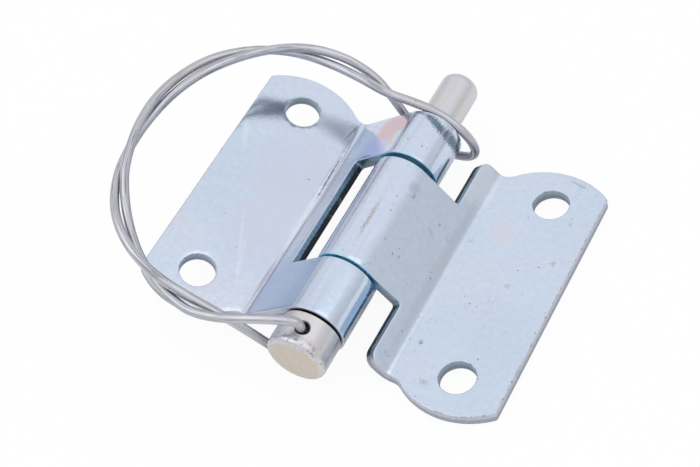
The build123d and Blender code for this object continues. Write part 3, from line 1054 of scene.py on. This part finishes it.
@dataclass
class RetainingWire:
    """The doubled spring wire: a round tube along a smooth curve of order 3.

    The route gives the curve's control points in mm, seen with the swinging leaf laid flat: away from
    the pin's axis over the leaf, along the pin, and out of the leaf's face.
    """

    name: str
    material: Material
    radius: float = 0.00115
    around: int = 40
    steps: int = 22
    route: tuple[Triple, ...] = (
        (0.3, -37.2, 1.0), (0.85, -37.2, 4.6), (1.45, -37.2, 8.4), (2.9, -37.55, 10.1), (7.0, -38.7, 8.9),
        (24.4, -43.9, 1.2), (34.5, -41.1, -1.2), (44.1, -36.3, -1.5), (50.9, -30.3, -0.9), (56.4, -23.6, 0.2),
        (60.7, -16.2, 1.2), (64.1, -3.8, 1.3), (64.2, 8.3, 1.0), (59.9, 20.8, 0.8), (52.9, 28.7, 1.1),
        (43.1, 34.2, 1.9), (33.0, 35.6, 2.9), (22.6, 34.7, 4.4), (14.1, 33.3, 5.4), (8.4, 33.6, 6.4),
        (1.2, 33.6, 7.3), (-6.6, 33.5, 5.3), (-11.5, 33.6, 0.8), (-11.6, 33.7, -3.7), (-6.5, 33.7, -6.8),
        (1.2, 33.9, -7.9), (8.5, 35.7, -3.6), (14.6, 36.9, 0.6), (20.5, 38.2, 3.2), (29.7, 37.8, 5.2),
        (39.5, 35.0, 5.1), (48.5, 28.9, 3.8), (56.3, 20.0, 2.1), (61.1, 10.7, 0.2), (63.2, -0.4, -1.1),
        (63.0, -10.9, -1.5), (60.8, -20.4, -1.0), (55.8, -29.3, 0.0), (47.8, -36.0, 1.1), (38.5, -39.6, 1.6),
        (28.1, -40.1, 0.8), (17.2, -39.2, -1.6), (3.4, -37.4, -8.5), (-1.3, -36.85, -10.3),
        (-1.6, -36.8, -8.6), (-1.0, -36.8, -5.0), (-0.3, -36.8, -1.0),
    )

    def centre_line(self) -> np.ndarray:
        """The wire's axis, read from a NURBS curve whose control points are the route's.

        Returns:
            Points along it, in metres.
        """
        away, along, out = np.array(self.route).T * MM
        x = PIN_X - away * math.cos(FOLD) + out * math.sin(FOLD)
        z = PIN_Z + away * math.sin(FOLD) + out * math.cos(FOLD)
        curve = bpy.data.curves.new("wire_axis", "CURVE")
        curve.dimensions = "3D"
        curve.resolution_u = self.steps
        spline = curve.splines.new("NURBS")
        spline.points.add(len(x) - 1)
        places = np.stack([x, along, z, np.ones_like(x)], 1)
        spline.points.foreach_set("co", places.astype(np.float32).ravel())
        spline.order_u = 3
        spline.use_endpoint_u = True
        holder = new_object("wire_axis", curve)
        bpy.context.view_layer.update()
        graph = bpy.context.evaluated_depsgraph_get()
        mesh = bpy.data.meshes.new_from_object(holder.evaluated_get(graph))
        line = np.zeros(len(mesh.vertices) * 3)
        mesh.vertices.foreach_get("co", line)
        bpy.data.objects.remove(holder)
        bpy.data.curves.remove(curve)
        bpy.data.meshes.remove(mesh)
        return line.reshape(-1, 3)

    def frames(self, line: np.ndarray) -> tuple[np.ndarray, np.ndarray]:
        """Two directions across the wire at each point, carried along it without twist.

        Args:
            line: The wire's axis.

        Returns:
            The first and the second direction for each point.
        """
        tangent = unit(np.gradient(line, axis=0))
        first = np.zeros_like(line)
        across = np.cross(tangent[0], (0.0, 1.0, 0.0))
        for i, t in enumerate(tangent):
            across = unit(across - t * (across @ t))
            first[i] = across
        return first, np.cross(tangent, first)

    def build(self) -> Object:
        """Makes the tube: at each place of the axis, a circle across it.

        Returns:
            The wire's object.
        """
        line = self.centre_line()
        first, second = self.frames(line)
        rows = len(line)
        count = self.around
        t = np.linspace(0, 2 * math.pi, count, endpoint=False)
        ring = np.cos(t)[None, :, None] * first[:, None, :] + np.sin(t)[None, :, None] * second[:, None, :]
        tube = (line[:, None, :] + self.radius * ring).reshape(-1, 3)
        points = np.concatenate([tube, line[[0, -1]]])
        i, j = np.meshgrid(np.arange(rows - 1), np.arange(count), indexing="ij")
        here = i * count + j
        beside = i * count + (j + 1) % count
        quads = np.stack([here, beside, beside + count, here + count], 2).reshape(-1, 4)
        length = np.concatenate([[0], np.cumsum(np.linalg.norm(np.diff(line, axis=0), axis=1))])
        girth = 2 * math.pi * self.radius / count
        along = np.stack([length[i], length[i], length[i + 1], length[i + 1]], 2)
        around = np.stack([j * girth, (j + 1) * girth, (j + 1) * girth, j * girth], 2)
        index = np.arange(count)
        after = (index + 1) % count
        last = (rows - 1) * count
        hub = np.full_like(index, rows * count)
        caps = np.concatenate(
            [np.stack([hub, after, index], 1), np.stack([hub + 1, last + index, last + after], 1)]
        )
        uvs = np.concatenate([np.zeros((caps.size, 2)), np.stack([along, around], 3).reshape(-1, 2)])
        slots = np.zeros(len(caps) + len(quads), int)
        thing = make_mesh(self.name, points, [caps, quads], uvs, slots, [self.material])
        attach(thing, "wire")
        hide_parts("retaining_wire")
        LOG.info("%s: %d faces, %.1f mm long", self.name, len(thing.data.polygons), length[-1] / MM)
        return thing


@dataclass(frozen=True)
class Camera:
    """The photograph's view: angles in degrees, lengths in metres, for a frame 700 by 467 pixels."""

    azimuth: float = 41.127
    elevation: float = 48.91
    roll: float = -17.507
    distance: float = 0.42029
    shift_right: float = -0.006306
    shift_up: float = 0.008996
    lens: float = 86.93

    def build(self) -> Object:
        """Places the camera: it looks along one line, turned about it by the roll.

        Returns:
            The camera's object.
        """
        az = math.radians(self.azimuth)
        el = math.radians(self.elevation)
        roll = math.radians(self.roll)
        back = Vector((math.sin(az) * math.cos(el), -math.cos(az) * math.cos(el), math.sin(el)))
        right = Vector((math.cos(az), math.sin(az), 0.0))
        up = back.cross(right)
        eye = back * self.distance + right * self.shift_right + up * self.shift_up + Vector((PIN_X, 0, 0))
        turned_right = right * math.cos(roll) + up * math.sin(roll)
        turned_up = up * math.cos(roll) - right * math.sin(roll)
        data = bpy.data.cameras.new("camera")
        data.sensor_width = 36.0
        data.lens = self.lens
        data.clip_start = 0.01
        thing = new_object("camera", data)
        thing.matrix_world = Matrix((turned_right, turned_up, back)).transposed().to_4x4()
        thing.location = eye
        bpy.context.scene.camera = thing
        return thing


WHITE = (1.0, 1.0, 1.0)


@dataclass(frozen=True)
class Studio:
    """A white floor, a pale surround that is a little greyer near the horizon, and soft lamps."""

    floor_z: float = -0.0003
    floor_half: float = 1.5
    lamp_away: float = 1.1
    lamp_side: float = 0.9

    def world(self) -> None:
        """Lights the scene from all round; the camera sees plain white."""
        world = bpy.data.worlds.new("surround")
        bpy.context.scene.world = world
        graph = Graph(empty_tree(world))
        toward = graph.add("TexCoord").outputs["Generated"]
        ramp = graph.add("ValToRGB", {0: graph.calc("MULTIPLY_ADD", graph.part(toward, 2), 0.5)})
        stops = ramp.color_ramp.elements
        stops[0].color = (0.55, 0.56, 0.58, 1)
        stops[1].color = (1.0, 1.0, 1.0, 1)
        for place, level in ((0.5, 0.70), (0.64, 0.80), (0.8, 0.99)):
            stops.new(place).color = (level, level, level * 1.01, 1)
        seen = graph.add("LightPath").outputs["Is Camera Ray"]
        surround = graph.add("Background", {"Color": ramp.outputs[0], "Strength": 1.0}).outputs[0]
        white = graph.add("Background", {"Color": WHITE, "Strength": 1.0}).outputs[0]
        both = graph.add("MixShader", {0: seen, 1: surround, 2: white}).outputs[0]
        graph.add("OutputWorld", {0: both})

    def floor(self) -> Object:
        """The floor: white to the camera and in reflections, with a faint shadow, and clear from below."""
        material = bpy.data.materials.new("floor_white")
        graph = Graph(empty_tree(material))
        path = graph.add("LightPath").outputs
        plain = graph.add("BsdfDiffuse", {"Color": (0.9, 0.9, 0.9)}).outputs[0]
        glow = graph.add("Emission", {"Color": WHITE, "Strength": 1.0}).outputs[0]
        seen = graph.times(path["Is Camera Ray"], 0.93)
        share = graph.calc("MAXIMUM", seen, graph.times(path["Is Glossy Ray"], 0.25))
        above = graph.add("MixShader", {0: share, 1: plain, 2: glow}).outputs[0]
        below = graph.add("NewGeometry").outputs["Backfacing"]
        clear = graph.add("BsdfTransparent").outputs[0]
        both = graph.add("MixShader", {0: below, 1: above, 2: clear}).outputs[0]
        graph.add("OutputMaterial", {0: both})
        mesh = bpy.data.meshes.new("floor")
        signs = ((-1, -1), (1, -1), (1, 1), (-1, 1))
        corners = [(x * self.floor_half, y * self.floor_half, self.floor_z) for x, y in signs]
        mesh.from_pydata(corners, [], [(0, 1, 2, 3)])
        mesh.materials.append(material)
        thing = new_object("floor", mesh)
        return thing

    def lamp(self, name: str, azimuth: float, elevation: float, power: float) -> None:
        """A square soft lamp that points at the hinge.

        Args:
            name: The lamp's name.
            azimuth: Its direction about the vertical, in degrees from +X.
            elevation: Its height above the horizon, in degrees.
            power: Its power, in watts.
        """
        data = bpy.data.lights.new(name, "AREA")
        data.size = self.lamp_side
        data.energy = power
        az = math.radians(azimuth)
        el = math.radians(elevation)
        toward = Vector((math.cos(az) * math.cos(el), math.sin(az) * math.cos(el), math.sin(el)))
        thing = new_object(name, data)
        thing.location = Vector((PIN_X, 0, PIN_Z)) + toward * self.lamp_away
        thing.rotation_euler = toward.to_track_quat("Z", "Y").to_euler()

    def build(self) -> None:
        """Makes the surround, the floor and the lamps."""
        self.world()
        self.floor()
        self.lamp("key_lamp", 215.0, 58.0, 1.4)
        self.lamp("fill_lamp", 5.0, 62.0, 0.9)
        bpy.context.scene.view_settings.view_transform = "Standard"


def write_sizes() -> None:
    """Defines a helper that turns a box into two plain lists; nothing is written."""
    def rows(box: tuple[Vector, Vector]) -> list[list[float]]:
        """A box as two plain lists."""
        return [[float(v) for v in corner] for corner in box]


def main() -> None:
    """Builds the camera, the studio and the four pieces."""
    logging.basicConfig(level=logging.INFO, format="%(message)s")
    effects = Effects()
    Camera().build()
    Studio().build()
    fixed = SheetFinish(effects, "plated_sheet_fixed", FIXED_MARKS, 0.35, 0.1).build()
    swinging = SheetFinish(effects, "plated_sheet_swinging", SWINGING_MARKS, 0.06, 0.75).build()
    punched = ShearedFinish(
        effects, "punched_hole_wall", edge=(0.52, 0.58, 0.67), burnished=(0.34, 0.43, 0.53),
        torn=(0.30, 0.36, 0.43),
    )
    walls = [ShearedFinish(effects, "sheared_wall").build(), punched.build()]
    Leaf("fixed_leaf_sheet", "one_knuckle_leaf", "fixed_leaf", Side.FIXED, [fixed, *walls]).build()
    Leaf(
        "swinging_leaf_sheet", "two_knuckle_leaf", "swinging_leaf", Side.SWINGING, [swinging, *walls]
    ).build()
    RetainingWire("spring_wire_ring", WireFinish(effects).build()).build()
    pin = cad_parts["hinge_pin"]
    pin.data.materials.clear()
    pin.data.materials.append(PinFinish(effects).build())
    LOG.info("hinge_pin: the CAD mesh with a new finish")
    write_sizes()


if __name__ == "__main__":
    main()
